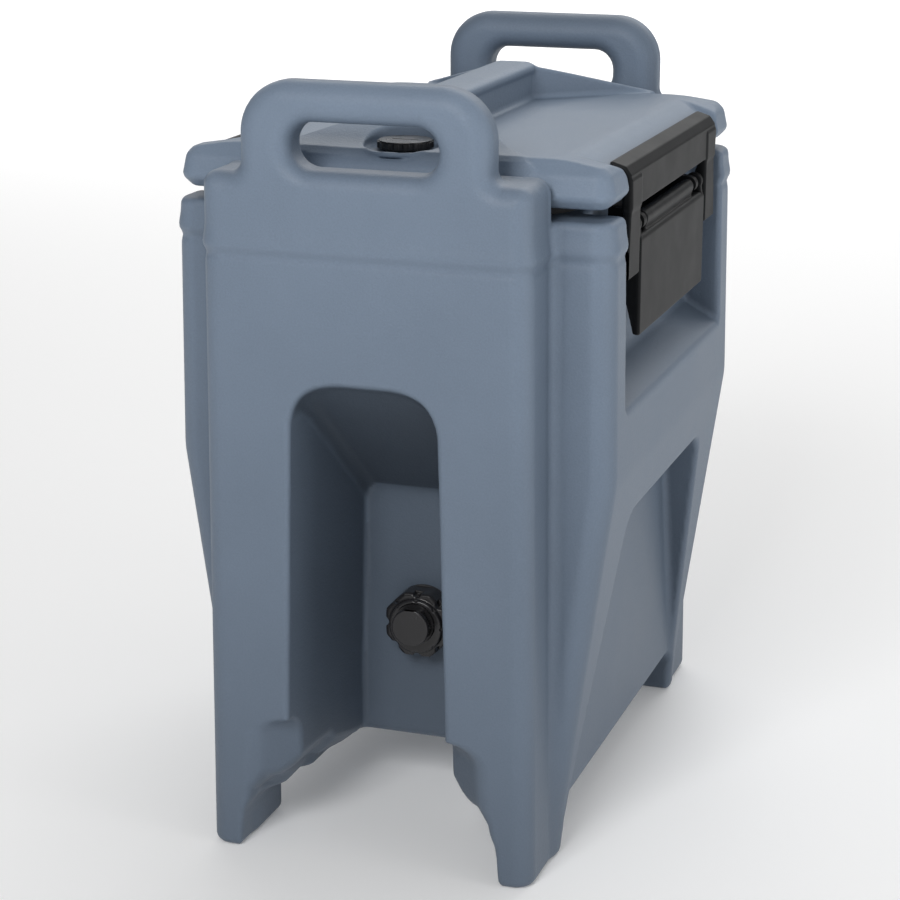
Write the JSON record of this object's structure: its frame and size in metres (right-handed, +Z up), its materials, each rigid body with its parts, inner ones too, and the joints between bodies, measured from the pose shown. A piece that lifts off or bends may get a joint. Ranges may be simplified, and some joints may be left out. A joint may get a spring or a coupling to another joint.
{
  "type": "insulated beverage server",
  "caption": "Tall insulated beverage server with a lift-off lid, side draw latches, moulded end handles and legs, a vent cap and a recessed tap under a front arch.",
  "frame": {"origin": "on the floor, under the middle of the body", "axes": "+Z up; -Y towards the front, where the tap is; +X to the right seen from the front"},
  "size_m": [0.2696, 0.3894, 0.467],
  "materials": {
    "moulded_body": "satin",
    "foam": "matte",
    "seal_rubber": "matte",
    "steel": "satin",
    "black_nylon": "satin"
  },
  "bodies": {
    "body": {"body_shell": "moulded_body", "body_foam": "foam", "foam_port_plug": "moulded_body", "right_latch_bracket": "black_nylon", "left_latch_bracket": "black_nylon", "right_bracket_screws": "steel", "left_bracket_screws": "steel", "right_lever_pin": "steel", "left_lever_pin": "steel", "tap_shank": "black_nylon", "tap_collar": "black_nylon", "tap_outer_washer": "seal_rubber", "tap_inner_washer": "seal_rubber", "tap_inner_nut": "black_nylon"},
    "lid": {"lid_shell": "moulded_body", "lid_foam": "foam", "lid_port_plug": "moulded_body", "lid_gasket": "seal_rubber", "vent_tube": "black_nylon"},
    "vent": {"vent_cap": "black_nylon", "vent_seal": "seal_rubber"},
    "right_lever": {"right_latch_lever": "black_nylon", "right_bail_pins": "steel"},
    "left_lever": {"left_latch_lever": "black_nylon", "left_bail_pins": "steel"},
    "right_bail": {"right_latch_bail": "black_nylon"},
    "left_bail": {"left_latch_bail": "black_nylon"},
    "tap": {"tap_knob": "black_nylon", "tap_stem_ring": "seal_rubber"}
  },
  "joints": [
    {"name": "lid_lift", "type": "slide", "parent": "body", "child": "lid", "axis": [0, 0, 1], "range_m": [0, 0.104]},
    {"name": "vent_turn", "type": "hinge", "parent": "lid", "child": "vent", "pos_m": [0, -0.119, 0.42], "axis": [0, 0, -1], "range_deg": [0, 90]},
    {"name": "right_lever_swing", "type": "hinge", "parent": "body", "child": "right_lever", "pos_m": [0.124, 0, 0.375], "axis": [0, -1, 0], "range_deg": [0, 50]},
    {"name": "right_bail_swing", "type": "hinge", "parent": "right_lever", "child": "right_bail", "pos_m": [0.12, 0, 0.357], "axis": [0, 1, 0], "range_deg": [0, 130]},
    {"name": "left_lever_swing", "type": "hinge", "parent": "body", "child": "left_lever", "pos_m": [-0.124, 0, 0.375], "axis": [0, 1, 0], "range_deg": [0, 50]},
    {"name": "left_bail_swing", "type": "hinge", "parent": "left_lever", "child": "left_bail", "pos_m": [-0.12, 0, 0.357], "axis": [0, -1, 0], "range_deg": [0, 130]},
    {"name": "tap_turn", "type": "hinge", "parent": "body", "child": "tap", "pos_m": [0, -0.1, 0.124], "axis": [0, 1, 0], "range_deg": [0, 90]}
  ],
  "couplings": [
    {"joint": "right_lever_swing", "follows": "lid_lift", "rad_per_m": 8.3909},
    {"joint": "right_bail_swing", "follows": "lid_lift", "rad_per_m": 21.817},
    {"joint": "left_lever_swing", "follows": "lid_lift", "rad_per_m": 8.3909},
    {"joint": "left_bail_swing", "follows": "lid_lift", "rad_per_m": 21.817}
  ]
}
